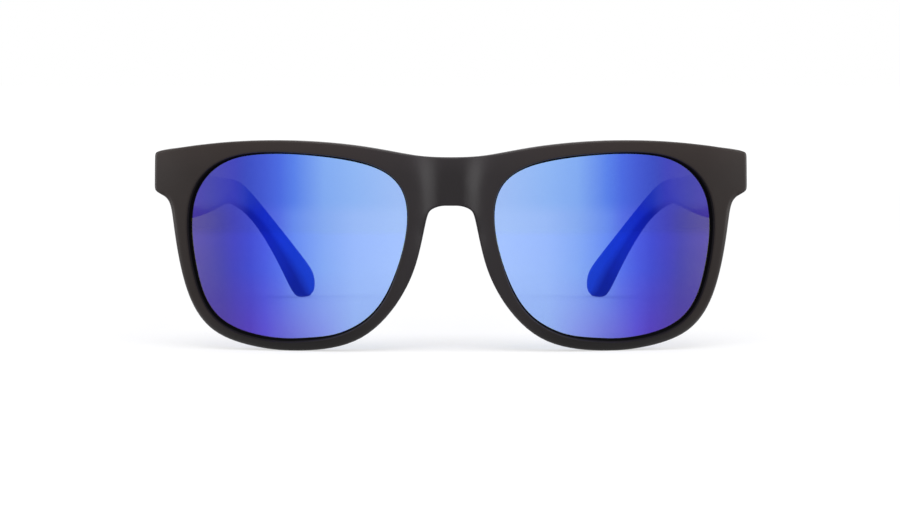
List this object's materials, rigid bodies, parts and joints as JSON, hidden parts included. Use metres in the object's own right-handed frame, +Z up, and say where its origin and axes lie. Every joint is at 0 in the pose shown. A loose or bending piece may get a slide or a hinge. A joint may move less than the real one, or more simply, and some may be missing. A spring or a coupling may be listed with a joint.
{
  "type": "sunglasses",
  "caption": "Full-rim mountain sunglasses with curved blue mirror lenses, a moulded nose rest and temples that fold on screwed barrel hinges.",
  "frame": {"origin": "middle of the footprint of the open glasses, on the surface that the rims and the temple tips rest on", "axes": "+Z up, -Y ahead of the wearer, +X towards the wearer's left"},
  "size_m": [0.1452, 0.1393, 0.0512],
  "materials": {
    "front_plastic": "matte soft-touch moulded nylon, dark warm grey",
    "temple_plastic": "matte soft-touch moulded nylon, dark warm grey outside and on the edges, blue on the inner side",
    "lens": "polished polycarbonate with a blue to violet mirror coat",
    "hinge_metal": "satin nickel silver",
    "screw": "bright stainless steel",
    "core_wire": "drawn stainless wire, hidden in the temple"
  },
  "bodies": {
    "front": {"front_frame": "front_plastic", "right_lens": "lens", "left_lens": "lens", "right_front_hinge": "hinge_metal", "left_front_hinge": "hinge_metal", "right_front_hinge_screws": "screw", "left_front_hinge_screws": "screw", "right_pivot_screw": "screw", "left_pivot_screw": "screw"},
    "right_arm": {"right_temple_hinge": "hinge_metal", "right_temple_hinge_screws": "screw", "right_temple": "temple_plastic", "right_temple_core": "core_wire"},
    "left_arm": {"left_temple_hinge": "hinge_metal", "left_temple_hinge_screws": "screw", "left_temple": "temple_plastic", "left_temple_core": "core_wire"}
  },
  "joints": [
    {"name": "right_temple_fold", "type": "hinge", "parent": "front", "child": "right_arm", "pos_m": [-0.0664, -0.05189, 0.0431], "axis": [0, 0, -1], "range_deg": [0, 80]},
    {"name": "left_temple_fold", "type": "hinge", "parent": "front", "child": "left_arm", "pos_m": [0.0664, -0.05189, 0.0431], "axis": [0, 0, 1], "range_deg": [0, 71]}
  ]
}
